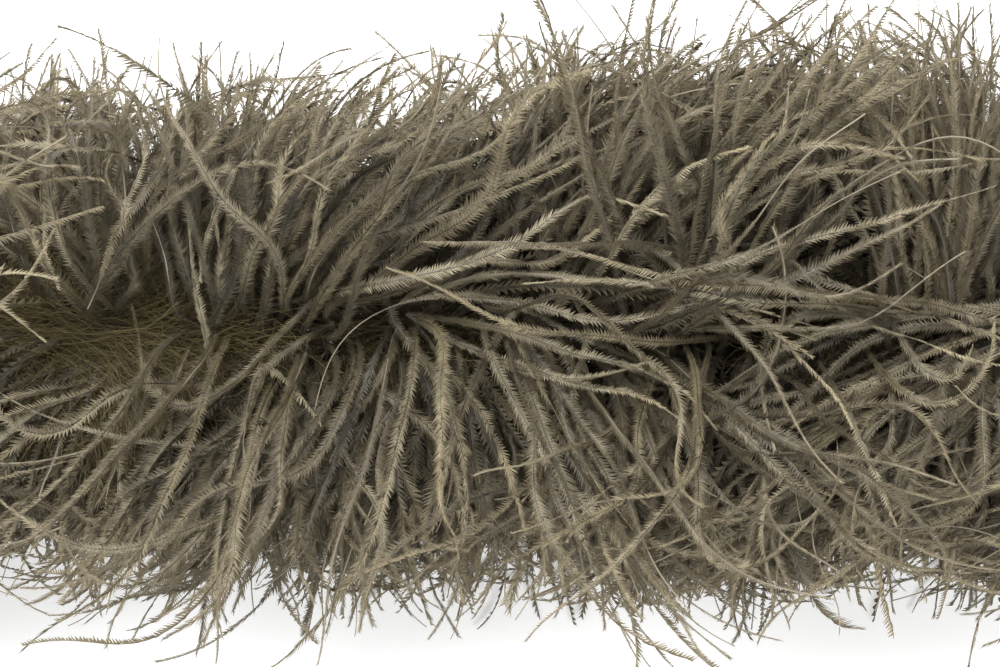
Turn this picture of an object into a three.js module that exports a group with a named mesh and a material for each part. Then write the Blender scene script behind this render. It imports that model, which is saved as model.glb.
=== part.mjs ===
// A feather boa laid out straight: ostrich plies and a marabou ply twisted round a pair of cotton cords.
// It is cut into nine lengths that hinge on each other, so that it can bend. Units are millimetres.
// +X runs along the boa, +Y is across it, +Z is up, and it rests on z = 0.
import * as THREE from "three";

// Driving dimensions
const HALF_LENGTH = 900; // from the middle to the tip of an end knot
const FLUFF_RADIUS = 75; // reach of the ostrich barbs from the cords
const DOWN_RADIUS = 38; // reach of the marabou down
const AXIS_HEIGHT = 55; // the cords lie lower than FLUFF_RADIUS, because the underside is pressed flat
const TWIST_PITCH = 100; // length in which each ply goes once round the cords
const LENGTH_OF_BODY = 200; // hinge to hinge
const BEND_LIMIT = 45; // degrees each way at a hinge

const ROOT_RADIUS = 4; // where the feathers leave the cords
const ROOT_THICKNESS = 4; // of a ply, at the cords
const OSTRICH_RIM = 12; // thickness of an ostrich ply at FLUFF_RADIUS
const DOWN_RIM = 10; // thickness of the marabou ply at DOWN_RADIUS
const LEAST_REACH = 2; // a ply fades out where it is no deeper than this

const CORD_RADIUS = 1.5;
const CORD_ORBIT = 1.7; // from the axis to each cord's centre
const CLEARANCE = 0.4; // between solids that don't touch

const TAIL_DOME = 75; // length over which the fluff rounds off at each end
const FLUFF_END = 878; // where the fluff stops, short of the whipping
const WHIPPING_START = 880;
const WHIPPING_END = 888;
const WHIPPING_RADIUS = 5;
const WHIPPING_TURNS = 6;
const THREAD_BULGE = 0.5; // how far each turn of the whipping stands out
const KNOT_START = 890;
const KNOT_RADIUS = 5;
const KNOT_WAIST = 3.6; // radius between the knot's two lobes

const OSTRICH_STEPS = 20; // facets in one turn of a ply
const DOWN_STEPS = 12;
const CORD_STEPS = 10;
const CORD_SIDES = 6;
const ROUND_SIDES = 16; // facets round a whipping or a knot

const STRAIGHT_DOWN = -Math.PI / 2; // ply a points at the table in the very middle of the boa
const THIRD_OF_A_TURN = (2 * Math.PI) / 3;

const ostrichMaterial = new THREE.MeshStandardMaterial({ color: 0x857a6c, roughness: 0.8 });
const marabouMaterial = new THREE.MeshStandardMaterial({ color: 0x6e5f3c, roughness: 0.9 });
const cordMaterial = new THREE.MeshStandardMaterial({ color: 0x8f8676, roughness: 0.9 });
const threadMaterial = new THREE.MeshStandardMaterial({ color: 0x5e564a, roughness: 0.8 });

const boa = new THREE.Group();
boa.name = "feather_boa";

function addMesh(name, geometry, material) {
  const mesh = new THREE.Mesh(geometry, material);
  mesh.name = name;
  boa.add(mesh);
}

// One closed skin through rings of points that all have the same number of points.
// The rings follow each other along +X, and each runs anticlockwise when seen from +X.
function skin(rings) {
  const count = rings[0].length;
  const faces = [];
  for (let i = 0; i + 1 < rings.length; i++) {
    for (let j = 0; j < count; j++) {
      const next = (j + 1) % count;
      const here = i * count;
      const there = here + count;
      faces.push(here + j, here + next, there + next);
      faces.push(here + j, there + next, there + j);
    }
  }
  const last = (rings.length - 1) * count;
  for (let j = 1; j + 1 < count; j++) {
    faces.push(0, j + 1, j);
    faces.push(last, last + j, last + j + 1);
  }
  const geometry = new THREE.BufferGeometry();
  geometry.setAttribute("position", new THREE.Float32BufferAttribute(rings.flat(2), 3));
  geometry.setIndex(faces);
  geometry.computeVertexNormals();
  return geometry;
}

// A point at an angle round the cords: 0 is +Y and 90 degrees is up.
function aroundAxis(x, radius, angle) {
  return [x, radius * Math.cos(angle), AXIS_HEIGHT + radius * Math.sin(angle)];
}

// A round body that is turned about the cords' axis, from a list of [x, radius].
function turned(profile) {
  const points = profile.map(([x, radius]) => new THREE.Vector2(radius, x));
  const geometry = new THREE.LatheGeometry(points, ROUND_SIDES);
  geometry.rotateZ(-Math.PI / 2);
  geometry.translate(0, 0, AXIS_HEIGHT);
  return geometry;
}

// How far the fluff reaches at x and at this angle: less where it lies on the table and at the boa's ends.
function fluffReach(x, angle, radius) {
  const downwards = -Math.sin(angle);
  const toTable = downwards > 0 ? AXIS_HEIGHT / downwards : Infinity;
  const pastShoulder = Math.abs(x) - (FLUFF_END - TAIL_DOME);
  const share = Math.min(1, Math.max(0, pastShoulder / TAIL_DOME));
  return Math.min(radius, toTable) * Math.sqrt(1 - share * share);
}

// One ply of feathers in one body: a fin that winds round the cords, from the cords out to the barbs' tips.
// Towards a hinge it gets shorter, which leaves the neighbouring body room to bend.
function featherPly(body, phase, radius, rimThickness, stepsPerTurn) {
  const bendSlope = Math.tan(THREE.MathUtils.degToRad(BEND_LIMIT / 2));
  const flare = (rimThickness - ROOT_THICKNESS) / (radius - ROOT_RADIUS);
  const reachAt = (x, angle) => {
    const toHinge = Math.min(
      body.start.hinged ? x - body.start.x : Infinity,
      body.end.hinged ? body.end.x - x : Infinity,
    );
    const spare = toHinge - CLEARANCE - ROOT_THICKNESS / 2 + (flare * ROOT_RADIUS) / 2;
    return Math.min(fluffReach(x, angle, radius), spare / (bendSlope + flare / 2));
  };
  const step = (2 * Math.PI) / stepsPerTurn;
  const angleAt = (x) => phase + (2 * Math.PI * x) / TWIST_PITCH;
  const rings = [];
  const first = Math.ceil(angleAt(body.start.x) / step);
  const last = Math.floor(angleAt(body.end.x) / step);
  for (let k = first; k <= last; k++) {
    const angle = k * step;
    const x = ((angle - phase) / (2 * Math.PI)) * TWIST_PITCH;
    const reach = reachAt(x, angle);
    if (reach < ROOT_RADIUS + LEAST_REACH) continue;
    const halfRim = (ROOT_THICKNESS + flare * (reach - ROOT_RADIUS)) / 2;
    const halfRoot = ROOT_THICKNESS / 2;
    rings.push([
      aroundAxis(x - halfRoot, ROOT_RADIUS, angle),
      aroundAxis(x + halfRoot, ROOT_RADIUS, angle),
      aroundAxis(x + halfRim, reach, angle),
      aroundAxis(x - halfRim, reach, angle),
    ]);
  }
  return skin(rings);
}

// One cord in one body, winding round its twin. It stops short of each hinge.
function twistedCord(body, phase) {
  const bendSlope = Math.tan(THREE.MathUtils.degToRad(BEND_LIMIT / 2));
  const hingeGap = CLEARANCE + (CORD_ORBIT + CORD_RADIUS) * bendSlope;
  const knotGap = HALF_LENGTH - KNOT_START + CLEARANCE;
  const start = body.start.x + (body.start.hinged ? hingeGap : knotGap);
  const end = body.end.x - (body.end.hinged ? hingeGap : knotGap);
  const count = Math.round(((end - start) / TWIST_PITCH) * CORD_STEPS);
  const rings = [];
  for (let i = 0; i <= count; i++) {
    const x = start + ((end - start) * i) / count;
    const [, centreY, centreZ] = aroundAxis(x, CORD_ORBIT, phase + (2 * Math.PI * x) / TWIST_PITCH);
    const ring = [];
    for (let j = 0; j < CORD_SIDES; j++) {
      const angle = (2 * Math.PI * j) / CORD_SIDES;
      ring.push([x, centreY + CORD_RADIUS * Math.cos(angle), centreZ + CORD_RADIUS * Math.sin(angle)]);
    }
    rings.push(ring);
  }
  return skin(rings);
}

// Thread wound round both cords, so that the plies can't slide off. side is 1 or -1.
function whipping(side) {
  const bore = CORD_ORBIT + CORD_RADIUS + CLEARANCE;
  const turn = (WHIPPING_END - WHIPPING_START) / WHIPPING_TURNS;
  const profile = [[WHIPPING_START, bore]];
  for (let i = 0; i < WHIPPING_TURNS; i++) {
    profile.push([WHIPPING_START + turn * i, WHIPPING_RADIUS - THREAD_BULGE]);
    profile.push([WHIPPING_START + turn * (i + 0.5), WHIPPING_RADIUS]);
  }
  profile.push([WHIPPING_END, WHIPPING_RADIUS - THREAD_BULGE], [WHIPPING_END, bore]);
  profile.push([WHIPPING_START, bore]);
  return mirroredTo(side, profile);
}

// The knot in which both cords end: two lobes with a waist between them.
function endKnot(side) {
  const length = HALF_LENGTH - KNOT_START;
  const at = (share) => KNOT_START + length * share;
  return mirroredTo(side, [
    [at(0), 0],
    [at(0.04), KNOT_RADIUS * 0.6],
    [at(0.2), KNOT_RADIUS],
    [at(0.38), KNOT_RADIUS * 0.92],
    [at(0.5), KNOT_WAIST],
    [at(0.62), KNOT_RADIUS * 0.84],
    [at(0.78), KNOT_RADIUS * 0.84],
    [at(0.95), KNOT_RADIUS * 0.45],
    [at(1), 0],
  ]);
}

// The same turned body at the right end (side 1) or at the left end (side -1).
function mirroredTo(side, profile) {
  if (side > 0) return turned(profile);
  return turned(profile.map(([x, radius]) => [-x, radius]).reverse());
}

const BODY_NAMES = [
  "left_tail",
  "left_3",
  "left_2",
  "left_1",
  "middle",
  "right_1",
  "right_2",
  "right_3",
  "right_tail",
];

BODY_NAMES.forEach((name, i) => {
  const startX = -HALF_LENGTH + i * LENGTH_OF_BODY;
  const body = {
    start: { x: startX, hinged: i > 0 },
    end: { x: startX + LENGTH_OF_BODY, hinged: i + 1 < BODY_NAMES.length },
  };
  const ostrichPly = (phase) => featherPly(body, phase, FLUFF_RADIUS, OSTRICH_RIM, OSTRICH_STEPS);
  const marabouPhase = STRAIGHT_DOWN + 2 * THIRD_OF_A_TURN;
  addMesh(`${name}_ostrich_ply_a`, ostrichPly(STRAIGHT_DOWN), ostrichMaterial);
  addMesh(`${name}_ostrich_ply_b`, ostrichPly(STRAIGHT_DOWN + THIRD_OF_A_TURN), ostrichMaterial);
  addMesh(
    `${name}_marabou_ply`,
    featherPly(body, marabouPhase, DOWN_RADIUS, DOWN_RIM, DOWN_STEPS),
    marabouMaterial,
  );
  addMesh(`${name}_cord_a`, twistedCord(body, 0), cordMaterial);
  addMesh(`${name}_cord_b`, twistedCord(body, Math.PI), cordMaterial);
});

for (const [name, side] of [
  ["left_tail", -1],
  ["right_tail", 1],
]) {
  addMesh(`${name}_whipping`, whipping(side), threadMaterial);
  addMesh(`${name}_end_knot`, endKnot(side), cordMaterial);
}

export default boa;
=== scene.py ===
"""A feather boa lying straight on a pale table, seen from above: taupe ostrich barbs and olive marabou down.
Lengths here are in millimetres until a mesh is made; angles are in degrees until they are used."""

import math

import bpy
import numpy as np
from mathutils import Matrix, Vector


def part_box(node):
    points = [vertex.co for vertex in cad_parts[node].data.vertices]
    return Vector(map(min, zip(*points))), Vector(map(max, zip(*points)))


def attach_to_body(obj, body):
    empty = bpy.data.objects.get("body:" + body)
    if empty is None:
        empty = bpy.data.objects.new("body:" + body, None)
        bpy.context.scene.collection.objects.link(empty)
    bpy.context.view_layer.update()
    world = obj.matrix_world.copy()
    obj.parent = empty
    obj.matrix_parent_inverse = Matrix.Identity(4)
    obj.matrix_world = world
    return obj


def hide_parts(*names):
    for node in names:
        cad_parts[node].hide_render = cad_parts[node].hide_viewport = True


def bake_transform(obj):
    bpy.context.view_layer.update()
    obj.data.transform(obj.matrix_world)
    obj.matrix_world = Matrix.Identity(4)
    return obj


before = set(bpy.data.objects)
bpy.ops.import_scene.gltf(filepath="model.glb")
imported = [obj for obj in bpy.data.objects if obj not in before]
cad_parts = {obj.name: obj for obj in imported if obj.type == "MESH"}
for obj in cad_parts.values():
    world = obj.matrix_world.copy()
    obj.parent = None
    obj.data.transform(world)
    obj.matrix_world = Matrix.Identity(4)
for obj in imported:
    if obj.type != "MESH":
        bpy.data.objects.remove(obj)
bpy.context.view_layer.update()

# ---------------------------------------------------------------- driving dimensions
SEED = 20
MM = 0.001
AXIS_Z = 1000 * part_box("middle_cord_a")[0].z + 3.2  # height of the cords' axis
TWIST_PITCH = 100.0  # one turn of a ply round the cords
PLY_PHASE = {"a": -90.0, "b": 30.0, "m": 150.0}  # where each ply points at x = 0
JOINTS = [-700, -500, -300, -100, 100, 300, 500, 700]
CLOSE_JOINTS = [-100, 100]  # those in the stretch that is seen close up
BODIES = ["left_tail", "left_3", "left_2", "left_1", "middle", "right_1", "right_2", "right_3", "right_tail"]
HALF_ZONE = 100.0  # a piece reaches from the middle of one body to the middle of the next
END_ROOTS = 876.0  # the last feathers are rooted here
CLOSE_REACH = 133.0  # barbs that come nearer to the middle than this are seen close up, and are the finest
TABLE_CLEARANCE = 1.5  # between a shaft and the table
LEAST_HEIGHT = 0.4  # no barbule gets lower
TABLE_EASE = 6.0  # from this height above the clearance, barbs bend so as to lie on the table
LONGEST = 945.0  # no barb passes these three, measured from the middle of the boa and from the table
WIDEST = 86.0
HIGHEST = 132.0
LENGTH_EASE, WIDTH_EASE, HEIGHT_EASE = 40, 10, 15  # how far before them it starts to be held back

ROWS = 48  # rows of the colour map, one tint each
SHADED_DEEP_ROWS = 26  # from dark to middling: the tints of the barbs deep inside, darker as painted shade
PALE_ROWS = 4  # the last rows are for pale barbs
UV_NAME = "OFBake"
ACROSS_SHAFT, ACROSS_CREST, ACROSS_TIP = 0.02, 0.26, 0.48  # where a barbule lies across its row
ACROSS_RIDGE = (0.65, 0.85)  # and the shaft's own colour
ACROSS_DOWN = (0.1, 0.5)  # and a strand of down
SHAFT_FROM = 0.56  # past this, a row holds the colour of the shaft

# Per mm of boa: barbs in each ostrich ply, deep barbs that fill the fluff below them, and strands of down
OSTRICH_DENSITY = 4.4
FILL_DENSITY = 7.0
DOWN_DENSITY = 34.0
PATCH_DENSITY = 190.0  # of down where it shows
PATCH = (-150.0, -66.0)
OUTER_SHARE = 0.6  # outside the stretch that is seen close up, there are fewer and coarser ones
BARBS_PER_LOCK = 8
LOCKS_PER_TUFT = 4
STRAY_SHARE = 0.07  # of the barbs lie across the others
ALONG_SHARE = 0.2  # of the tufts on top lie along the boa
SHORT_SHARE = 0.34  # of them end on top of the fluff, before its outline
THREAD_SHARE = 0.1  # of the barbs end in a bare thread
HOOKED_SHARE = 0.12  # of the barbs have a sharply turned end
STRANDS_PER_PLUME = 34
BARBULES = 144  # on each side of a barb
FILL_STEPS = 62  # steps along a barb that lies deep in the fluff
HIDDEN_STEPS = 48  # and along one on the underside
NEAR_STEPS = 44  # and along one just outside the close stretch
OUTER_STEPS = 30  # and along one further out
NEAR_REACH = 300.0  # how far from the middle that is
PROBE_STEPS = 14  # enough to tell how far a barb gets
RELIEF_STEPS = 24  # and at how many places along it its height is noted
DOWN_STEPS, PATCH_STEPS, OUTER_DOWN_STEPS = 12, 10, 7  # steps along a strand of down
OUTER_DOWN_SHARE = 0.45  # of the down, outside the stretch that is seen close up
USUAL_BARB, SHORTEST_BARB, LONGEST_BARB = 86.0, 40.0, 128.0  # lengths
SHORTEST_DOWN, LONGEST_DOWN = 12, 62
FULL_BARBULE = (2.2, 3.5)  # lengths of the longest barbules on an outer barb
DEEP_BARBULE = (2.5, 3.8)  # and on a deep one
CREST_NEAR, CREST_FAR = 0.27, 0.14  # share of a barbule that is joined, near a barb's root and at its tip
CREST_RISE, TIP_DROOP = 24, 30  # how steeply barbules rise to the crest and droop past it
TOUSLED = 0.055  # how far barbules stray from each other, as a share of their length
SHAFT_HALF, SHAFT_TAPER = 0.2, 0.05  # half a shaft's width at the root, and how much less it is at the tip
SHAFT_LIFT = 0.09  # it lies this far above its barbules
DOWN_HALF, DOWN_TAPER = 0.062, 0.036  # the same for a strand of down

# How the barbs lie in the stretch that is seen close up. Azimuth: 0 is +X, 90 is +Y.
FLOW_X = [-140, -110, -85, -60, -35, -10, 15, 40, 65, 90, 115, 140]
FLOW_UP = [106, 100, 82, 60, 46, 48, 58, 64, 82, 106, 94, 76]
FLOW_DOWN = [-152, -138, -128, -114, -101, -80, -68, -78, -98, -114, -124, -108]
REACH_UP = [64, 63, 65, 65, 62, 68, 71, 72, 71, 71, 72, 71]  # how far out most of them get
REACH_DOWN = [60, 60, 63, 68, 71, 69, 67, 66, 67, 67, 65, 63]

# How much the outer barbs differ: standard deviations, with angles in degrees. Where there are two, the
# first is between locks and the second is between the barbs of a lock.
TUFT_SPREAD, LOCK_SPREAD, BARB_SPREAD = 52, 24, 8  # round the cords
LOCK_SCATTER, BARB_SCATTER = 4.5, 1.5  # along the cords
SIDE_MIXING = 0.35  # how far tufts near the top and the bottom are shared out between the two sides
TUFT_TURN, BARB_TURN, STRAY_TURN = 13, (12, 5), 45  # in azimuth
ALONG_TURN = 42  # not a deviation: by how much, at most, tufts that lie along the boa are turned
TUFT_RISE, ROOT_RISE, TIP_RISE = 11, (5, 5), (8, 6)  # in elevation
STRAY_RISE, SHORT_RISE = 8, 7  # not deviations: stray and short barbs stand up by this much more
TUFT_CURL, BARB_CURL, STRAY_CURL = 22, (16, 9), 50
HOOKED, UNHOOKED = 70, (18, 14)
SWAY = (13, 8)
ROLL, ROLL_TURN = (16, 18), (30, 40)  # of a barb's flat, at its root and on the way to its tip
REACH_SPREAD = 0.035
# And the least and the most: how far out a short barb gets, as a share of the usual reach; how far the
# roots are from the cords' axis; and how much further out those of some tufts are
SHORT_REACH = (0.5, 0.88)
ROOT_DEPTH = (2, 11)
TUFT_DEPTH = (0, 9)

# Stretches where hardly any ostrich barbs leave the top of the core, so that the down shows:
# x, half length, share missing
BARE_PATCHES = [(-102, 23, 0.8), (-34, 11, 0.5), (93, 10, 0.75)]
BARE_MARGIN = 25.0  # nearer to one than this, no tufts lie along the boa and over it

# Further out, the flow and the reach vary at random round these means
WAVE_LENGTHS = (310, 170, 95, 53)
FAR_UP, FAR_DOWN, FAR_SWING = 84, -96, 34  # azimuth
FAR_REACH, FAR_REACH_SWING = 67, 6
FLOW_END, FLOW_FADE = 170, 30  # the lists above hold up to here, and fade out over this length before it


def smoothstep(t):
    t = np.clip(t, 0, 1)
    return t * t * (3 - 2 * t)


def unit(v):
    return v / np.maximum(np.linalg.norm(v, axis=-1, keepdims=True), 1e-9)


def rotate_about(v, axis, angle):
    """Each v turned about its own unit axis, angle in radians."""
    c, s = np.cos(angle)[..., None], np.sin(angle)[..., None]
    dot = (v * axis).sum(-1, keepdims=True)
    return v * c + np.cross(axis, v) * s + axis * dot * (1 - c)


def waves(x, seed):
    """Smooth random variation along the boa, about -1 to 1."""
    rng = np.random.default_rng(seed)
    total = 0
    for length in WAVE_LENGTHS:
        total = total + np.sin(2 * np.pi * (x / length + rng.random())) / len(WAVE_LENGTHS) * 1.6
    return total


def flow_azimuth(x, upper):
    """The direction, seen from above, in which barbs rooted at x lie, on the +Y side (upper) or -Y side."""
    near = smoothstep((FLOW_END - np.abs(x)) / FLOW_FADE)
    far_up = FAR_UP + FAR_SWING * waves(x, 3)
    far_down = FAR_DOWN + FAR_SWING * waves(x, 4)
    up = near * np.interp(x, FLOW_X, FLOW_UP) + (1 - near) * far_up
    down = near * np.interp(x, FLOW_X, FLOW_DOWN) + (1 - near) * far_down
    return np.where(upper, up, down)


def usual_reach(x, upper):
    """How far sideways most barbs rooted at x get."""
    near = smoothstep((FLOW_END - np.abs(x)) / FLOW_FADE)
    far_up = FAR_REACH + FAR_REACH_SWING * waves(x, 5)
    far_down = FAR_REACH + FAR_REACH_SWING * waves(x, 6)
    up = near * np.interp(x, FLOW_X, REACH_UP) + (1 - near) * far_up
    down = near * np.interp(x, FLOW_X, REACH_DOWN) + (1 - near) * far_down
    return np.where(upper, up, down)


def bareness(x):
    """The share of the barbs on top of the core that are missing at x."""
    return sum(share * smoothstep(1.6 - np.abs(x - middle) / half) for middle, half, share in BARE_PATCHES)


def make_locks(rng, count, start, end, phase, spread):
    """Where tufts are rooted: x and the angle round the cords, 0 towards +Y and 90 up."""
    x = start + (end - start) * (np.arange(count) + rng.random(count)) / count
    angle = phase + 360 * x / TWIST_PITCH + rng.normal(0, spread, count)
    return x, (angle + 180) % 360 - 180


def grow(root, radial, azimuth, elevation, length, bend, curl, hook, sway, steps):
    """Curves that leave the cords along radial and lie over towards azimuth and elevation.
    It takes arrays with a value for each of n barbs, and gives (n, steps + 1, 3)."""
    s = np.linspace(0, 1, steps + 1)[None, :]
    az = azimuth[:, None] + curl[:, None] * (s - 0.25) + hook[:, None] * smoothstep((s - 0.62) / 0.38)
    az = az + sway[:, None] * np.sin(2 * np.pi * (s * 1.2 + sway[:, None]))
    az = az + 0.5 * sway[:, None] * np.sin(2 * np.pi * (s * 2.9 + 1.7 * sway[:, None]))
    el = elevation[:, :1] + (elevation[:, 1:] - elevation[:, :1]) * smoothstep(s)
    az, el = np.radians(az), np.radians(el)
    target = np.stack([np.cos(el) * np.cos(az), np.cos(el) * np.sin(az), np.sin(el)], -1)
    over = smoothstep(s * length[:, None] / bend[:, None])[..., None]
    step = unit((1 - over) * radial[:, None, :] + over * target) * (length / steps)[:, None, None]
    start = np.zeros((len(root), 1, 3))
    path = np.concatenate([start, np.cumsum(step[:, :-1], axis=1)], axis=1) + root[:, None]
    return lie_within(path)


def hold_back(values, limit, depth):
    """Values within depth of the limit, on either side of zero, are eased back so that none passes it."""
    start = limit - depth
    over = np.maximum(np.abs(values) - start, 0)
    return np.sign(values) * (np.minimum(np.abs(values), start) + depth * np.tanh(over / depth))


def lie_within(path):
    """Barbs lie on the table and don't stand out past the fluff's outline."""
    z = path[..., 2] - TABLE_CLEARANCE
    eased = TABLE_EASE * np.exp(np.clip((z - TABLE_EASE) / TABLE_EASE, -60, 0))
    path[..., 2] = TABLE_CLEARANCE + np.where(z > TABLE_EASE, z, eased)
    limits = (LONGEST, LENGTH_EASE), (WIDEST, WIDTH_EASE), (HIGHEST, HEIGHT_EASE)
    for axis, (limit, depth) in enumerate(limits):
        path[..., axis] = hold_back(path[..., axis], limit, depth)
    return path


def frames(path, roll):
    """Tangent, side and normal along each curve. A ribbon faces away from the cords, turned by roll."""
    tangent = unit(np.gradient(path, axis=1))
    out = path - np.array([0, 0, AXIS_Z])
    out[..., 0] = 0
    out = unit(out) + np.array([0, 0, 0.8])
    normal = unit(out - (out * tangent).sum(-1, keepdims=True) * tangent)
    normal = rotate_about(normal, tangent, np.radians(roll))
    return tangent, np.cross(tangent, normal), normal


class Builder:
    """Collects vertices, triangles and colour-map coordinates, and makes one mesh of them."""

    def __init__(self):
        self.points, self.faces, self.uvs, self.count = [], [], [], 0

    def add(self, points, faces, uvs):
        self.points.append(points.reshape(-1, 3))
        self.uvs.append(uvs.reshape(-1, 2))
        self.faces.append(faces.reshape(-1, 3) + self.count)
        self.count += len(self.points[-1])

    def make(self, name, material):
        points = np.concatenate(self.points).astype(np.float32) * MM
        faces = np.concatenate(self.faces).astype(np.int32)
        uvs = np.concatenate(self.uvs).astype(np.float32)
        mesh = bpy.data.meshes.new(name)
        mesh.vertices.add(len(points))
        mesh.vertices.foreach_set("co", points.ravel())
        mesh.loops.add(faces.size)
        mesh.loops.foreach_set("vertex_index", faces.ravel())
        mesh.polygons.add(len(faces))
        mesh.polygons.foreach_set("loop_start", np.arange(0, faces.size, 3, dtype=np.int32))
        mesh.polygons.foreach_set("use_smooth", np.ones(len(faces), bool))
        layer = mesh.uv_layers.new(name=UV_NAME)
        layer.data.foreach_set("uv", uvs[faces.ravel()].ravel())
        mesh.materials.append(material)
        mesh.update()
        obj = bpy.data.objects.new(name, mesh)
        bpy.context.scene.collection.objects.link(obj)
        return obj


def drift(rng, n, s):
    """Slow random variation along each of n barbs, about -1 to 1."""
    total = 0
    for cycles in (1.3, 3.1, 7.0):
        phase = rng.random((n, 1))
        total = total + np.sin(2 * np.pi * (s * cycles + phase)) * 0.55
    return total


def add_vane(build, path, tangent, side, normal, width, slant, fold, row, rng):
    """Barbules on both sides of each shaft. By the shaft they lie so close that they make one strip, which
    rises to a crest. Past the crest each one's tip is free. All of them are swept forward by slant."""
    n, m = path.shape[0], path.shape[1] - 1
    s = np.broadcast_to(np.linspace(0, 1, m + 1)[None, :], (n, m + 1))
    half = np.arange(0, m + 1, 2)
    loosened = smoothstep((s - 0.3) / 0.5)[..., None]
    joined = CREST_NEAR + (CREST_FAR - CREST_NEAR) * loosened
    strips = len(half)
    points = [path[:, half]]
    uvs = [np.stack([s, (row[:, None] + ACROSS_SHAFT + 0 * s) / ROWS], -1)[:, half]]
    faces = []
    centre = np.arange(n * strips).reshape(n, strips)
    offset = n * strips
    for sign in (1, -1):
        a = np.radians(slant + 7 * drift(rng, n, s))[..., None]
        lift = fold[:, None] + 16 * drift(rng, n, s)
        out = np.cos(a) * sign * side + np.sin(a) * tangent
        up = np.radians(lift + CREST_RISE)[..., None]
        down = np.radians(lift - TIP_DROOP)[..., None]
        size = (width * (1 + 0.12 * drift(rng, n, s)))[..., None]
        crest = path + joined * size * (np.cos(up) * out + np.sin(up) * normal)
        stray = rng.normal(0, 1, (n, m + 1, 1)) * normal + rng.normal(0, 0.7, (n, m + 1, 1)) * side
        crest = crest + TOUSLED * size * stray
        ragged = size * (1 + rng.normal(0, 0.22, (n, m + 1, 1)))
        splay = 0.22 * rng.normal(0, 1, (n, m + 1, 1))
        droop = np.cos(down) * (out + splay * tangent) + np.sin(down) * normal
        tip = crest + (1 - joined) * ragged * droop
        tip = 0.5 * (tip[:, 1:] + tip[:, :-1])
        middle = 0.5 * (s[:, 1:] + s[:, :-1])
        for place, along, across in ((crest, s, ACROSS_CREST), (tip, middle, ACROSS_TIP)):
            place[..., 2] = np.maximum(place[..., 2], LEAST_HEIGHT)
            points.append(place)
            uvs.append(np.stack([along, (row[:, None] + across + 0 * along) / ROWS], -1))
        crest_index = offset + np.arange(n * (m + 1)).reshape(n, m + 1)
        tip_index = offset + n * (m + 1) + np.arange(n * m).reshape(n, m)
        offset += n * (m + 1) + n * m
        first, second = centre[:, :-1], centre[:, 1:]
        third, fourth = crest_index[:, half[1:]], crest_index[:, half[:-1]]
        free_tip = (crest_index[:, :-1], crest_index[:, 1:], tip_index)
        for order in ((first, second, third), (first, third, fourth), free_tip):
            order = order if sign < 0 else order[::-1]
            faces.append(np.stack(order, -1).reshape(-1, 3))
    build.add(
        np.concatenate([p.reshape(-1, 3) for p in points]),
        np.concatenate(faces),
        np.concatenate([u.reshape(-1, 2) for u in uvs]),
    )


def add_ribbon(build, path, side, half_width, row, across, every=1):
    """A thin flat strip along each curve, for a shaft or a strand of down."""
    keep = np.unique(np.append(np.arange(0, path.shape[1], every), path.shape[1] - 1))
    path, side, half_width = path[:, keep], side[:, keep], half_width[:, keep]
    n, m = path.shape[:2]
    s = np.broadcast_to((keep / keep[-1])[None, :], (n, m))
    edge = half_width[..., None] * side
    points = np.stack([path + edge, path - edge], 2)
    points[..., 2] = np.maximum(points[..., 2], LEAST_HEIGHT)
    u = np.broadcast_to(s[..., None], (n, m, 2))
    v = np.broadcast_to(row[:, None, None] + np.array(across), (n, m, 2)) / ROWS
    index = np.arange(n * m * 2).reshape(n, m, 2)
    a, b = index[:, :-1, 0], index[:, 1:, 0]
    c, d = index[:, :-1, 1], index[:, 1:, 1]
    faces = [np.stack([a, b, c], -1), np.stack([c, b, d], -1)]
    build.add(points, np.concatenate([f.reshape(-1, 3) for f in faces]), np.stack([u, v], -1))


class Draw:
    """Random values for the barbs of one piece: partly shared by a whole lock, partly each barb's own.
    Locks may be gathered in tufts, and tuft says which one each lock is in."""

    def __init__(self, rng, locks, per_lock, tuft=()):
        self.rng, self.locks = rng, locks
        self.lock = np.repeat(np.arange(locks), per_lock)
        self.n = len(self.lock)
        if len(tuft):
            self.tufts = tuft.max() + 1
            self.tuft = tuft[self.lock]

    def normal(self, shared, own):
        """Values round 0, from the standard deviation between locks and the one within a lock."""
        return self.rng.normal(0, shared, self.locks)[self.lock] + self.rng.normal(0, own, self.n)

    def uniform(self, low, high):
        return self.rng.uniform(low, high, self.n)

    def per_tuft(self, spread):
        return self.rng.normal(0, spread, self.tufts)[self.tuft]


def rooted(x, angle, radius):
    a = np.radians(angle)
    return np.stack([x, radius * np.cos(a), AXIS_Z + radius * np.sin(a)], -1)


def outwards(angle, along):
    a = np.radians(angle)
    return unit(np.stack([along, np.cos(a), np.sin(a)], -1))


def vane_shape(s, full, bare, draw):
    """Barbule length and sweep along a barb. Most end in a brush of barbules, some in a bare thread."""
    grown = 0.55 + 0.45 * smoothstep(s / 0.4)
    threaded = draw.uniform(0, 1)[:, None] < THREAD_SHARE
    kept = 1 - smoothstep((s - bare) / (1.04 - bare)) * 0.42
    thinned = 0.13 + 0.87 * (1 - smoothstep((s - 0.5) / (bare - 0.4)))
    width = full * grown * np.where(threaded, thinned, kept)
    slant = 42 + 34 * smoothstep((s - bare + 0.22) / 0.4) + draw.rng.normal(0, 6, (draw.n, 1))
    return width, slant


def add_barbs(build, draw, path, roll, full, row):
    steps = path.shape[1] - 1
    s = np.linspace(0, 1, steps + 1)[None, :]
    tangent, side, normal = frames(path, roll)
    bare = draw.uniform(0.66, 0.9)[:, None]
    width, slant = vane_shape(s, full[:, None], bare, draw)
    fold = draw.rng.normal(6, 17, draw.n)
    add_vane(build, path, tangent, side, normal, width, slant, fold, row, draw.rng)
    shaft = (SHAFT_HALF - SHAFT_TAPER * s) * draw.uniform(0.8, 1.25)[:, None]
    add_ribbon(build, path + SHAFT_LIFT * normal, side, shaft, row, ACROSS_RIDGE, every=4)


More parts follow.
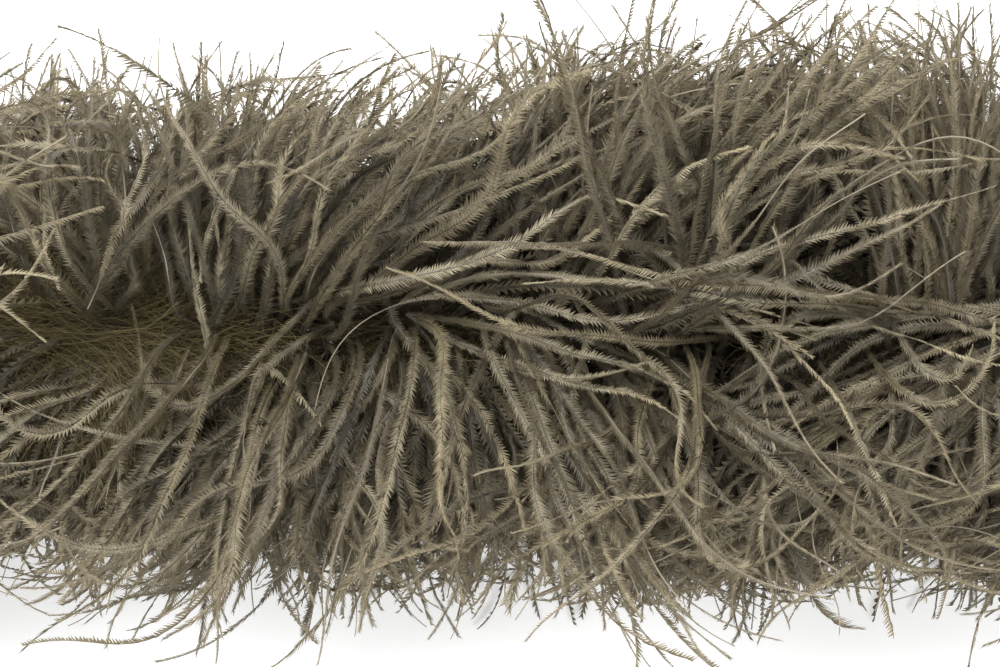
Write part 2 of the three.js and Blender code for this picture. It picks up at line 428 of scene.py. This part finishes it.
def ostrich_roots(rng, start, end, phase, density):
    """Where barbs are rooted: the draws for them, x, and the angle round the cords."""
    locks = max(1, int((end - start) * density / BARBS_PER_LOCK))
    tufts = max(1, locks // LOCKS_PER_TUFT)
    tuft_x, tuft_angle = make_locks(rng, tufts, start, end, phase, TUFT_SPREAD)
    tuft = np.arange(locks) % tufts
    lock_x = tuft_x[tuft] + rng.normal(0, LOCK_SCATTER, locks)
    lock_angle = tuft_angle[tuft] + rng.normal(0, LOCK_SPREAD, locks)
    draw = Draw(rng, locks, BARBS_PER_LOCK, tuft)
    x = lock_x[draw.lock] + draw.normal(0, BARB_SCATTER)
    angle = lock_angle[draw.lock] + draw.normal(0, BARB_SPREAD)
    return draw, x, angle


def ostrich_azimuth(draw, x, height, upper, stray):
    """Most barbs follow the flow. On top, but not by a bare patch, some tufts lie more along the boa."""
    azimuth = flow_azimuth(x, upper) + draw.per_tuft(TUFT_TURN) + draw.normal(*BARB_TURN)
    chosen = (draw.rng.random(draw.tufts) < ALONG_SHARE)[draw.tuft] | stray
    along = chosen * smoothstep((height - 0.3) / 0.4)
    along = along * (1 - np.maximum(bareness(x - BARE_MARGIN), bareness(x + BARE_MARGIN)))
    turned = azimuth - along * ALONG_TURN * np.sin(np.radians(2 * azimuth))
    return turned + stray * draw.rng.normal(0, STRAY_TURN, draw.n)


def ostrich_barbs(rng, start, end, phase, density):
    """The outer barbs of one ostrich ply between two places along the boa, as two builders: those with the
    finest barbules, and the others."""
    draw, x, angle = ostrich_roots(rng, start, end, phase, density)
    height = np.sin(np.radians(angle))
    upper = np.cos(np.radians(angle)) + draw.per_tuft(SIDE_MIXING) > 0
    stray = rng.random(draw.n) < STRAY_SHARE
    azimuth = ostrich_azimuth(draw, x, height, upper, stray)
    root = rooted(x, angle, draw.uniform(*ROOT_DEPTH) + rng.uniform(*TUFT_DEPTH, draw.tufts)[draw.tuft])
    short = rng.random(draw.n) < SHORT_SHARE
    rise = 24 * height + 4 + draw.per_tuft(TUFT_RISE) + stray * STRAY_RISE + short * SHORT_RISE
    at_tip = -18 + 20 * height + rise * 0.3
    elevation = np.stack([rise + draw.normal(*ROOT_RISE), at_tip + draw.normal(*TIP_RISE)], -1)
    bend = 14 + 18 * np.maximum(height, 0) + draw.uniform(0, 12)
    curl = draw.per_tuft(TUFT_CURL) + draw.normal(*BARB_CURL) + stray * rng.normal(0, STRAY_CURL, draw.n)
    hooked = rng.random(draw.n) < HOOKED_SHARE
    hook = np.where(hooked, rng.normal(0, HOOKED, draw.n), draw.normal(*UNHOOKED))
    roll_start, roll_turn = draw.normal(*ROLL)[:, None], draw.normal(*ROLL_TURN)[:, None]
    full = draw.uniform(*FULL_BARBULE)
    row = rng.integers(2, ROWS - PALE_ROWS, draw.n) + 0.0
    pale = stray & (rng.random(draw.n) < 0.5)
    row = np.where(pale, ROWS - 1.0 - rng.integers(0, PALE_ROWS, draw.n), row)
    sway, radial = draw.normal(*SWAY), outwards(angle, rng.normal(0, 0.4, draw.n))
    shape = (root, radial, azimuth, elevation, bend, curl, hook, sway)
    reach = usual_reach(x, upper) * rng.normal(1, REACH_SPREAD, draw.locks)[draw.lock]
    reach = reach * rng.normal(1, REACH_SPREAD, draw.n)
    reach = reach * np.where(short, draw.uniform(*SHORT_REACH), 1)
    length = reaching(shape, reach)
    kept = rng.random(draw.n) > bareness(x) * smoothstep((height + 0.1) / 0.4)
    nearest = np.abs(grow_shape(shape, length, PROBE_STEPS)[..., 0]).min(axis=1)
    close = nearest < CLOSE_REACH
    shown = close & (height > -0.35) & kept
    near = ~close & (np.abs(x) < NEAR_REACH)
    groups = (
        (0, shown, BARBULES),
        (1, close & ~shown & kept, HIDDEN_STEPS),
        (1, near, NEAR_STEPS),
        (1, ~close & ~near, OUTER_STEPS),
    )
    builds = Builder(), Builder()
    for which, group, steps in groups:
        if not group.any():
            continue
        part = Draw(rng, int(group.sum()), 1)
        path = grow_shape([value[group] for value in shape], length[group], steps)
        relief.note(path[:, :: max(1, steps // RELIEF_STEPS)])
        roll = roll_start[group] + roll_turn[group] * (np.linspace(0, 1, steps + 1)[None, :] - 0.4)
        add_barbs(builds[which], part, path, roll, full[group], row[group])
    return builds


def grow_shape(shape, length, steps):
    root, radial, azimuth, elevation, bend, curl, hook, sway = shape
    return grow(root, radial, azimuth, elevation, length, bend, curl, hook, sway, steps)


def reaching(shape, reach):
    """Barb lengths at which the tips get to about this far sideways."""
    usual = USUAL_BARB + 0 * reach
    path = grow_shape(shape, usual, PROBE_STEPS)
    got = np.abs(path[..., 1]).max(axis=1)
    return np.clip(usual * np.clip(reach / got, 0.6, 1.6), SHORTEST_BARB, LONGEST_BARB)


def underfluff(build, rng, start, end, steps, density):
    """Shorter barbs all round the cords, which fill the fluff so that the table doesn't show through.
    Those below the cords go down to the table."""
    locks = max(1, int((end - start) * density / BARBS_PER_LOCK))
    draw = Draw(rng, locks, BARBS_PER_LOCK)
    x = rng.uniform(start, end, locks)[draw.lock] + draw.normal(0, 3)
    angle = rng.uniform(-180, 180, locks)[draw.lock] + draw.normal(0, 14)
    height = np.sin(np.radians(angle))
    upper = np.cos(np.radians(angle)) > 0
    azimuth = flow_azimuth(x, upper) + draw.normal(14, 14)
    root = rooted(x, angle, draw.uniform(1, 6))
    below = smoothstep((-height - 0.45) / 0.4)
    at_root, at_tip = 14 * height - 46 * below, -14 + 12 * height - 12 * below
    elevation = np.stack([at_root + draw.normal(8, 8), at_tip + draw.normal(9, 8)], -1)
    radial = outwards(angle, rng.normal(0, 0.5, draw.n))
    bend, curl = draw.uniform(14, 30), draw.normal(12, 18)
    hook, sway = rng.normal(0, 40, draw.n), rng.normal(0, 10, draw.n)
    shape = (root, radial, azimuth, elevation, bend, curl, hook, sway)
    reach = usual_reach(x, upper) * draw.uniform(0.66, 0.99)
    path = grow_shape(shape, reaching(shape, reach), steps)
    roll_start, roll_turn = draw.normal(20, 25)[:, None], draw.normal(20, 30)[:, None]
    roll = roll_start + roll_turn * np.linspace(-0.4, 0.6, steps + 1)[None, :]
    # Painted shade: the barbs deep in the fluff take only the darker tints.
    add_barbs(build, draw, path, roll, draw.uniform(*DEEP_BARBULE), rng.integers(0, SHADED_DEEP_ROWS, draw.n) + 0.0)


class Relief:
    """The height of the fluff's top, noted while barbs are made, so that the last barbs can lie on it."""

    cell = 5.0
    low = np.array([-210.0, -95.0])
    cells = (84, 38)

    def __init__(self):
        self.z = np.full(self.cells, AXIS_Z)

    def index(self, places):
        spots = ((places - self.low) / self.cell).astype(int)
        return tuple(np.clip(spots, 0, np.array(self.z.shape) - 1).T)

    def note(self, points):
        flat = points.reshape(-1, 3)
        np.maximum.at(self.z, self.index(flat[:, :2]), flat[:, 2])

    def smooth(self):
        for axis in (0, 1):
            for _ in range(2):
                self.z = (np.roll(self.z, 1, axis) + 2 * self.z + np.roll(self.z, -1, axis)) / 4

    def under(self, places):
        return self.z[self.index(places)]


relief = Relief()

# Barbs that lie on top of the others, from root to tip: barbule length, whether pale, then places (x, y)
TOP_BARBS = [
    (2.9, False, [(-42, 14), (-50, 4), (-58, -4), (-64, -11), (-72, -17), (-80, -19), (-87, -14), (-91, -6),
                  (-93, 6)]),
    (2.2, True, [(-68, -18), (-72, -12), (-74, 0), (-76, 14), (-76, 29)]),
    (2.6, False, [(-42, 2), (-50, -3), (-57, -8), (-62, -14), (-63, -28)]),
    (2.6, True, [(-66, -4), (-61, -8), (-56, -10), (-50, -15), (-44, -23)]),
    (2.6, False, [(-98, 2), (-103, -2), (-102, -9), (-106, -14), (-116, -16), (-128, -19)]),
    (2.4, True, [(-96, 0), (-101, -4), (-99, -11), (-104, -16), (-114, -19), (-126, -23)]),
    (2.6, False, [(-80, 44), (-87, 32), (-94, 22), (-98, 13), (-102, 5)]),
    (2.4, False, [(-106, 48), (-110, 34), (-110, 20), (-107, 10)]),
    (2.5, False, [(-92, -3), (-98, 6), (-104, 17), (-108, 30), (-110, 46), (-116, 60)]),
    (2.4, False, [(-95, -2), (-103, 6), (-110, 16), (-116, 30), (-122, 40), (-130, 46)]),
    (2.2, True, [(-88, 4), (-92, 15), (-91, 28), (-87, 42), (-88, 54)]),
    (1.7, True, [(-60, 46), (-66, 34), (-72, 22), (-74, 12)]),
    (3.0, True, [(-58, 6), (-42, 9), (-30, 11), (-20, 13), (-8, 16), (4, 21), (14, 28), (24, 32), (40, 27)]),
    (2.8, False, [(-44, 6), (-30, 8), (-16, 13), (-4, 18), (8, 20), (20, 18), (34, 13), (46, 9)]),
    (3.1, False, [(104, 4), (92, 7), (80, 8), (66, 10), (50, 11), (36, 14), (22, 18), (10, 21)]),
    (2.7, True, [(100, 2), (88, 5), (76, 6), (62, 6), (48, 9), (34, 11), (20, 12), (6, 11)]),
    (2.8, False, [(84, 9), (94, 7), (106, 6), (118, 3), (134, 0)]),
    (2.4, False, [(86, 6), (97, 4), (108, 3), (120, -1), (134, -6)]),
    (1.9, True, [(-24, 4), (-14, -2), (-4, -6), (6, -9), (16, -12), (26, -11), (36, -8)]),
    (1.9, True, [(-16, 1), (-8, -4), (2, -9), (10, -11), (22, -14), (34, -16), (44, -22)]),
    (2.6, False, [(-24, 4), (-10, 2), (4, -1), (18, -6), (32, -9), (44, -15), (52, -24)]),
    (3.0, False, [(98, 1), (88, 3), (79, 4), (71, 3), (66, 0), (64, -7), (64, -18), (66, -29)]),
    (2.6, False, [(96, 4), (99, -3), (103, -9), (108, -12), (113, -10), (116, -4)]),
    (2.4, False, [(90, -1), (93, -8), (98, -15), (106, -18), (114, -15), (120, -7), (122, 2)]),
    (1.7, True, [(80, -6), (82, -14), (87, -28), (94, -47)]),
    (2.7, True, [(-86, 40), (-94, 43), (-102, 43), (-114, 44.5), (-128, 43)]),
    (3.2, False, [(-92, 30), (-92, 40), (-94, 48), (-102, 50), (-114, 50), (-128, 49)]),
    (3.2, False, [(-28, 6), (-26, 1), (-21, -5), (-16, -12), (-12, -20), (-9, -32), (-8, -44)]),
    (3.0, False, [(-22, 2), (-17, -4), (-12, -12), (-4, -22), (2, -34), (6, -48)]),
    (3.0, False, [(8, 8), (2, 2), (-6, -12), (-12, -28), (-15, -46)]),
    (2.8, True, [(20, 6), (26, 16), (33, 28), (44, 38), (58, 43)]),
    (2.9, False, [(58, 2), (54, 12), (53, 24), (58, 36), (66, 46), (68, 58)]),
]
TOP_LIFT = 1.0  # they lie this far above the fluff's top
ROOT_DIP = 12.0  # but their roots are this far below it
TOP_ROW = 24  # the darkest tint that they have
EVEN_LENGTH = 88.0  # one of this length has BARBULES barbules on each side, and a longer one has more


def through(places, steps):
    """A smooth curve through given points (Catmull-Rom), with evenly spaced steps."""
    knots = np.array(places, float)
    knots = np.vstack([2 * knots[0] - knots[1], knots, 2 * knots[-1] - knots[-2]])
    t = np.linspace(0, len(places) - 1, 40 * len(places))
    i = np.minimum(t.astype(int), len(places) - 2)
    f = (t - i)[:, None]
    a, b, c, d = (knots[i + k] for k in range(4))
    curve = 0.5 * (2 * b + (c - a) * f + (2 * a - 5 * b + 4 * c - d) * f**2 + (3 * b - a - 3 * c + d) * f**3)
    walked = np.append(0, np.cumsum(np.linalg.norm(np.diff(curve, axis=0), axis=1)))
    even = np.linspace(0, walked[-1], steps + 1)
    return np.stack([np.interp(even, walked, curve[:, k]) for k in (0, 1)], -1), walked[-1]


def top_barbs(build, rng, low, high):
    """The listed barbs whose middles lie between two places along the boa."""
    for full, pale, places in TOP_BARBS:
        if not low <= places[len(places) // 2][0] < high:
            continue
        length = through(places, 8)[1]
        steps = 2 * int(length * BARBULES / (2 * EVEN_LENGTH))
        flat, _ = through(places, steps)
        s = np.linspace(0, 1, steps + 1)
        z = relief.under(flat)
        window = max(3, steps // 5)
        z = np.convolve(np.pad(z, window, mode="edge"), np.ones(window) / window, mode="same")[window:-window]
        z = z + TOP_LIFT - ROOT_DIP * (1 - smoothstep(s / 0.25))
        path = np.column_stack([flat, z])[None]
        draw = Draw(rng, 1, 1)
        if pale:
            row = ROWS - 1.0 - rng.integers(0, PALE_ROWS, 1)
        else:
            row = rng.integers(TOP_ROW, ROWS - PALE_ROWS, 1) + 0.0
        roll = rng.normal(0, 14) + rng.normal(0, 26) * s[None, :]
        add_barbs(build, draw, path, roll, np.array([full]), row)


def marabou_down(build, rng, start, end, density, steps):
    """Fine strands of down, rooted in plumes on the marabou ply."""
    plumes = max(1, int((end - start) * density / STRANDS_PER_PLUME))
    plume_x, plume_angle = make_locks(rng, plumes, start, end, PLY_PHASE["m"], 75)
    draw = Draw(rng, plumes, STRANDS_PER_PLUME)
    n = draw.n
    x = plume_x[draw.lock] + rng.normal(0, 2.0, n)
    angle = plume_angle[draw.lock] + rng.normal(0, 14, n)
    along = draw.normal(0.9, 0.25)
    a = np.radians(angle)
    height = np.sin(a)
    azimuth = np.degrees(np.arctan2(np.cos(a), along)) + draw.normal(14, 12)
    elevation = np.stack([34 * height + draw.normal(12, 10), -6 + 26 * height + draw.normal(12, 12)], -1)
    usual = 27 + 15 * smoothstep((bareness(x) - 0.3) / 0.3)
    length = np.clip(usual + draw.normal(6, 6), SHORTEST_DOWN, LONGEST_DOWN)
    bend, curl = draw.uniform(8, 26), draw.normal(40, 20)
    hook, sway = draw.normal(20, 34), draw.normal(10, 12)
    root, radial = rooted(x, angle, 3 + 0 * x), outwards(angle, along)
    path = grow_shape((root, radial, azimuth, elevation, bend, curl, hook, sway), length, steps)
    s = np.linspace(0, 1, steps + 1)[None, :]
    _, side, _ = frames(path, rng.uniform(-60, 60, (n, 1)) + 0 * s)
    half = (DOWN_HALF - DOWN_TAPER * s) * rng.uniform(0.6, 1.4, (n, 1))
    add_ribbon(build, path, side, half, rng.integers(0, ROWS, n).astype(float), ACROSS_DOWN)


# ---------------------------------------------------------------- materials
DARKEST, MIDDLING, LIGHTEST = (0.042, 0.036, 0.022), (0.1, 0.085, 0.056), (0.197, 0.176, 0.125)
PALE, TIP = (0.205, 0.186, 0.136), (0.152, 0.134, 0.095)
SHAFT_DARK, SHAFT_MIDDLING, SHAFT_LIGHT = (0.035, 0.029, 0.02), (0.07, 0.058, 0.04), (0.24, 0.21, 0.15)
SHAFT_TIP = (0.19, 0.163, 0.112)
DOWN_DARK, DOWN_MIDDLING, DOWN_LIGHT = (0.042, 0.032, 0.014), (0.078, 0.062, 0.026), (0.135, 0.111, 0.05)
SHEEN_TINT = (0.8, 0.72, 0.55, 1)
COTTON_LIGHT, COTTON_DARK = (0.36, 0.31, 0.23), (0.17, 0.14, 0.10)
THREAD_LIGHT, THREAD_DARK = (0.20, 0.17, 0.12), (0.08, 0.065, 0.045)
COTTON_BANDS, THREAD_BANDS = 260.0, 500.0  # how close the strands lie
BLACK, WHITE = (0.0, 0.0, 0.0), (1.0, 1.0, 1.0)
ROW_SHIFT = 7.31  # keeps the mottling of one row unlike that of the next


def new_material(name):
    material = bpy.data.materials.new(name)
    material.use_nodes = True
    tree = material.node_tree
    return material, tree, tree.nodes["Principled BSDF"]


def math_node(tree, operation, first, second=None, third=None):
    node = tree.nodes.new("ShaderNodeMath")
    node.operation = operation
    for slot, value in enumerate((first, second, third)):
        if value is None:
            continue
        if hasattr(value, "node"):
            tree.links.new(value, node.inputs[slot])
        else:
            node.inputs[slot].default_value = value
    return node.outputs[0]


def ramp(tree, factor, stops):
    node = tree.nodes.new("ShaderNodeValToRGB")
    elements = node.color_ramp.elements
    while len(elements) < len(stops):
        elements.new(0.5)
    for element, (position, colour) in zip(elements, stops):
        element.position = position
        element.color = (*colour, 1)
    tree.links.new(factor, node.inputs[0])
    return node.outputs[0]


def mix(tree, mode, factor, first, second):
    node = tree.nodes.new("ShaderNodeMix")
    node.data_type = "RGBA"
    node.blend_type = mode
    for slot, value in ((0, factor), (6, first), (7, second)):
        if hasattr(value, "node"):
            tree.links.new(value, node.inputs[slot])
        elif slot:
            node.inputs[slot].default_value = (*value, 1)
        else:
            node.inputs[slot].default_value = value
    return node.outputs[2]


def map_coordinates(tree):
    """u along the barb, the random number of its row, and its place across the row."""
    uv = tree.nodes.new("ShaderNodeUVMap")
    uv.uv_map = UV_NAME
    parts = tree.nodes.new("ShaderNodeSeparateXYZ")
    tree.links.new(uv.outputs[0], parts.inputs[0])
    scaled = math_node(tree, "MULTIPLY", parts.outputs[1], float(ROWS))
    row = math_node(tree, "FLOOR", scaled)
    across = math_node(tree, "FRACT", scaled)
    noise = tree.nodes.new("ShaderNodeTexWhiteNoise")
    noise.noise_dimensions = "1D"
    tree.links.new(row, noise.inputs["W"])
    return parts.outputs[0], row, noise.outputs[0], across


def mottle(tree, u, row, scale):
    """Slow variation of tone along each barb, different in each row."""
    spread = math_node(tree, "MULTIPLY", row, ROW_SHIFT)
    along = math_node(tree, "MULTIPLY_ADD", u, scale, spread)
    noise = tree.nodes.new("ShaderNodeTexNoise")
    noise.noise_dimensions = "1D"
    noise.inputs["Scale"].default_value = 1.0
    noise.inputs["Detail"].default_value = 3.0
    tree.links.new(along, noise.inputs["W"])
    return noise.outputs[0]


def ostrich_material():
    """Each row has its own tint. Along a barb the tone goes from a dark root, partly painted shade of the
    deep core, to a light tip, with mottling and a painted shade between neighbouring barbules. Across a row
    it goes from painted shade by the shaft out to a painted highlight on the barbules' tips."""
    material, tree, shader = new_material("ostrich_barbs")
    u, row, chance, across = map_coordinates(tree)
    darkness = math_node(tree, "MULTIPLY", row, 1 / (ROWS - PALE_ROWS))
    tint = ramp(tree, darkness, [(0.0, DARKEST), (0.5, MIDDLING), (0.99, LIGHTEST)])
    warmth = ramp(tree, chance, [(0.0, (1.0, 1.02, 1.06)), (1.0, (1.02, 0.99, 0.91))])
    tint = mix(tree, "MULTIPLY", 1.0, tint, warmth)
    near_tip = ramp(tree, u, [(0.6, BLACK), (1.0, (0.7, 0.7, 0.7))])
    tint = mix(tree, "MIX", near_tip, tint, TIP)
    is_pale = math_node(tree, "GREATER_THAN", row, ROWS - PALE_ROWS - 0.5)
    tint = mix(tree, "MIX", is_pale, tint, PALE)
    tone = ramp(tree, mottle(tree, u, row, 9.0), [(0.3, (0.72, 0.70, 0.66)), (0.7, (1.18, 1.17, 1.15))])
    vane = mix(tree, "MULTIPLY", 1.0, tint, tone)
    # Painted shade between neighbouring barbules: a dark band between each pair along the barb, lighter on
    # each barbule.
    wave = math_node(tree, "COSINE", math_node(tree, "MULTIPLY", u, 2 * math.pi * BARBULES))
    crest = math_node(tree, "MULTIPLY_ADD", wave, 0.5, 0.5)
    barbule_gap_shade = ramp(tree, crest, [(0.1, (0.6, 0.58, 0.55)), (0.8, (1.12, 1.11, 1.09))])
    vane = mix(tree, "MULTIPLY", 1.0, vane, barbule_gap_shade)
    # Across a row: painted shade in the groove by the shaft, and a painted highlight on the barbules' tips.
    painted_shaft_shade = [(0.02, (0.34, 0.32, 0.30)), (0.11, (0.9, 0.9, 0.88))]
    painted_tip_highlight = [(0.3, (1.1, 1.1, 1.08)), (0.48, (1.25, 1.22, 1.17))]
    edge = ramp(tree, across, painted_shaft_shade + painted_tip_highlight)
    vane = mix(tree, "MULTIPLY", 1.0, vane, edge)
    # Darker towards the root: partly the barb's own colour, partly painted shade of the deep core. The
    # lighter tip is the barb's own colour.
    painted_root_shade = [(0.0, (0.26, 0.23, 0.18)), (0.3, (0.64, 0.62, 0.56))]
    by_tip = [(0.65, (1.04, 1.035, 1.015)), (0.97, (1.42, 1.38, 1.25))]
    root_shade_and_tip_tone = ramp(tree, u, painted_root_shade + by_tip)
    vane = mix(tree, "MULTIPLY", 1.0, vane, root_shade_and_tip_tone)
    shaft_stops = [(0.4, SHAFT_DARK), (0.62, SHAFT_MIDDLING), (0.75, SHAFT_LIGHT)]
    shaft_tint = ramp(tree, mottle(tree, u, row, 2.0), shaft_stops)
    shaft_end = ramp(tree, u, [(0.6, BLACK), (0.95, WHITE)])
    shaft = mix(tree, "MIX", shaft_end, shaft_tint, SHAFT_TIP)
    is_shaft = math_node(tree, "GREATER_THAN", across, SHAFT_FROM)
    colour = mix(tree, "MIX", is_shaft, vane, shaft)
    tree.links.new(colour, shader.inputs["Base Color"])
    shader.inputs["Roughness"].default_value = 0.55
    shader.inputs["Specular IOR Level"].default_value = 0.35
    shader.inputs["Sheen Weight"].default_value = 0.2
    shader.inputs["Sheen Roughness"].default_value = 0.4
    shader.inputs["Sheen Tint"].default_value = SHEEN_TINT
    return material


def marabou_material():
    """Each row has its own tint, darker towards the root."""
    material, tree, shader = new_material("marabou_down")
    u, _, chance, _ = map_coordinates(tree)
    tint = ramp(tree, chance, [(0.0, DOWN_DARK), (0.6, DOWN_MIDDLING), (1.0, DOWN_LIGHT)])
    tone = ramp(tree, u, [(0.0, (0.6, 0.55, 0.45)), (0.5, WHITE), (1.0, (1.25, 1.22, 1.1))])
    tree.links.new(mix(tree, "MULTIPLY", 1.0, tint, tone), shader.inputs["Base Color"])
    shader.inputs["Roughness"].default_value = 0.6
    shader.inputs["Specular IOR Level"].default_value = 0.3
    return material


def cord_material(name, light, dark, bands):
    """Twisted cotton: slanting strands, as bands of light and dark with a bump."""
    material, tree, shader = new_material(name)
    place = tree.nodes.new("ShaderNodeNewGeometry").outputs["Position"]
    wave = tree.nodes.new("ShaderNodeTexWave")
    wave.wave_type = "BANDS"
    wave.bands_direction = "DIAGONAL"
    wave.inputs["Scale"].default_value = bands
    wave.inputs["Distortion"].default_value = 1.5
    tree.links.new(place, wave.inputs["Vector"])
    tree.links.new(ramp(tree, wave.outputs["Fac"], [(0.2, dark), (0.8, light)]), shader.inputs["Base Color"])
    bump = tree.nodes.new("ShaderNodeBump")
    bump.inputs["Strength"].default_value = 0.5
    bump.inputs["Distance"].default_value = 0.0004
    tree.links.new(wave.outputs["Fac"], bump.inputs["Height"])
    tree.links.new(bump.outputs[0], shader.inputs["Normal"])
    shader.inputs["Roughness"].default_value = 0.85
    return material


# ---------------------------------------------------------------- pieces
def zones():
    """(name, start, end, hinge x or None, the bodies it joins) for each stretch of fluff."""
    last = JOINTS[-1] + HALF_ZONE
    found = [("left_end", -END_ROOTS, -last, None, BODIES[:1])]
    for i, hinge in enumerate(JOINTS):
        name = f"{BODIES[i]}_to_{BODIES[i + 1]}"
        found.append((name, hinge - HALF_ZONE, hinge + HALF_ZONE, hinge, BODIES[i : i + 2]))
    found.append(("right_end", last, END_ROOTS, None, BODIES[-1:]))
    return found


def attach(obj, hinge, bodies):
    if hinge is None:
        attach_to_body(obj, bodies[0])
        return
    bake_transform(obj)


def halved(start, end):
    """Both halves of a stretch, because a dense piece would have too many faces."""
    middle = (start + end) / 2
    return [("_1", start, middle), ("_2", middle, end)]


def ostrich_piece(build, name, plies, material, hinge, bodies):
    piece = build.make(name, material)
    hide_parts(*[f"{body}_ostrich_ply_{ply}" for body in bodies for ply in plies])
    attach(piece, hinge, bodies)


def marabou_piece(build, name, material, hinge, bodies):
    piece = build.make(name, material)
    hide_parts(*[f"{body}_marabou_ply" for body in bodies])
    attach(piece, hinge, bodies)


def ostrich_pieces(number, zone, material):
    name, start, end, hinge, bodies = zone
    close = hinge in CLOSE_JOINTS
    share = 1.0 if close else OUTER_SHARE
    fill_steps = FILL_STEPS if close else OUTER_STEPS
    halves = halved(start, end) if close else [("", start, end)]
    for half, (suffix, low, high) in enumerate(halves):
        for ply in ("a", "b"):
            rng = np.random.default_rng([SEED, number, ord(ply), half])
            fine, others = ostrich_barbs(rng, low, high, PLY_PHASE[ply], OSTRICH_DENSITY * share)
            for kind, build in (("fine_barbs", fine), ("barbs", others)):
                if build.count:
                    ostrich_piece(build, f"{name}_{kind}_{ply}{suffix}", ply, material, hinge, bodies)
        build = Builder()
        rng = np.random.default_rng([SEED, number, 1, half])
        underfluff(build, rng, low, high, fill_steps, FILL_DENSITY * share)
        ostrich_piece(build, f"{name}_underfluff{suffix}", "ab", material, hinge, bodies)


def marabou_pieces(number, zone, material):
    name, start, end, hinge, bodies = zone
    close = hinge in CLOSE_JOINTS
    share = 1.0 if close else OUTER_DOWN_SHARE
    rng = np.random.default_rng([SEED, number, 0])
    build = Builder()
    marabou_down(build, rng, start, end, DOWN_DENSITY * share, DOWN_STEPS if close else OUTER_DOWN_STEPS)
    marabou_piece(build, f"{name}_marabou_down", material, hinge, bodies)
    if not start <= PATCH[0] < end:
        return
    for suffix, low, high in halved(*PATCH):
        build = Builder()
        marabou_down(build, rng, low, high, PATCH_DENSITY, PATCH_STEPS)
        marabou_piece(build, f"{name}_thick_down{suffix}", material, hinge, bodies)


def fluff_pieces(ostrich, marabou):
    for number, zone in enumerate(zones()):
        ostrich_pieces(number, zone, ostrich)
        marabou_pieces(number, zone, marabou)


def top_pieces(material):
    relief.smooth()
    for number, (name, start, end, hinge, bodies) in enumerate(zones()):
        if hinge not in CLOSE_JOINTS:
            continue
        build = Builder()
        top_barbs(build, np.random.default_rng([SEED, number, 2]), start, end)
        ostrich_piece(build, f"{name}_top_barbs", "ab", material, hinge, bodies)


def dress_cad_nodes():
    cotton = cord_material("twisted_cotton", COTTON_LIGHT, COTTON_DARK, COTTON_BANDS)
    thread = cord_material("whipping_thread", THREAD_LIGHT, THREAD_DARK, THREAD_BANDS)
    for name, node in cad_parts.items():
        if "cord" in name or "knot" in name:
            chosen = cotton
        elif "whipping" in name:
            chosen = thread
        else:
            continue
        node.data.materials.clear()
        node.data.materials.append(chosen)


# ---------------------------------------------------------------- studio
CAMERA_LENS = 100.0
SENSOR = 36.0
VIEW_WIDTH = 250.0  # how much of the boa the picture spans
VIEW_PLANE = 85.0  # at this height
TABLE_HALF = 12.0  # metres, as are the lights' places and sizes: place, size, watts
OVERHEAD = ((-0.5, 0.9, 1.7), (2.2, 0.8), 90)
FRONT = ((0.6, -1.2, 1.3), (2.0, 0.6), 26)
AIM = (0, 0, 0.05)
TABLE_WHITE, TABLE_ROUGHNESS, TABLE_GLOW = (0.93, 0.93, 0.93, 1), 0.7, 0.2
SKY_STRENGTH = 0.32


def make_camera():
    data = bpy.data.cameras.new("camera")
    data.lens = CAMERA_LENS
    data.sensor_width = SENSOR
    data.clip_start, data.clip_end = 0.01, 50
    camera = bpy.data.objects.new("camera", data)
    distance = VIEW_WIDTH * CAMERA_LENS / SENSOR
    camera.location = (0, -0.001, (VIEW_PLANE + distance) * MM)
    bpy.context.scene.collection.objects.link(camera)
    bpy.context.scene.camera = camera


def add_area(name, location, size, power):
    data = bpy.data.lights.new(name, "AREA")
    data.shape = "RECTANGLE"
    data.size, data.size_y = size
    data.energy = power
    light = bpy.data.objects.new(name, data)
    light.location = location
    light.rotation_mode = "QUATERNION"
    light.rotation_quaternion = (Vector(AIM) - Vector(location)).to_track_quat("-Z", "Y")
    light.visible_camera = False
    bpy.context.scene.collection.objects.link(light)


def make_studio():
    mesh = bpy.data.meshes.new("table_top")
    half = TABLE_HALF
    corners = [(-half, -half, 0), (half, -half, 0), (half, half, 0), (-half, half, 0)]
    mesh.from_pydata(corners, [], [(0, 1, 2, 3)])
    table = bpy.data.objects.new("table_top", mesh)
    bpy.context.scene.collection.objects.link(table)
    material, _, shader = new_material("white_table")
    shader.inputs["Base Color"].default_value = TABLE_WHITE
    shader.inputs["Roughness"].default_value = TABLE_ROUGHNESS
    shader.inputs["Emission Color"].default_value = (1, 1, 1, 1)
    shader.inputs["Emission Strength"].default_value = TABLE_GLOW
    mesh.materials.append(material)
    add_area("overhead", *OVERHEAD)
    add_area("front", *FRONT)
    world = bpy.data.worlds.new("studio")
    bpy.context.scene.world = world
    world.use_nodes = True
    background = world.node_tree.nodes["Background"]
    background.inputs["Color"].default_value = (1, 1, 1, 1)
    background.inputs["Strength"].default_value = SKY_STRENGTH
    bpy.context.scene.view_settings.view_transform = "Standard"


make_camera()
make_studio()
ostrich = ostrich_material()
fluff_pieces(ostrich, marabou_material())
top_pieces(ostrich)
dress_cad_nodes()
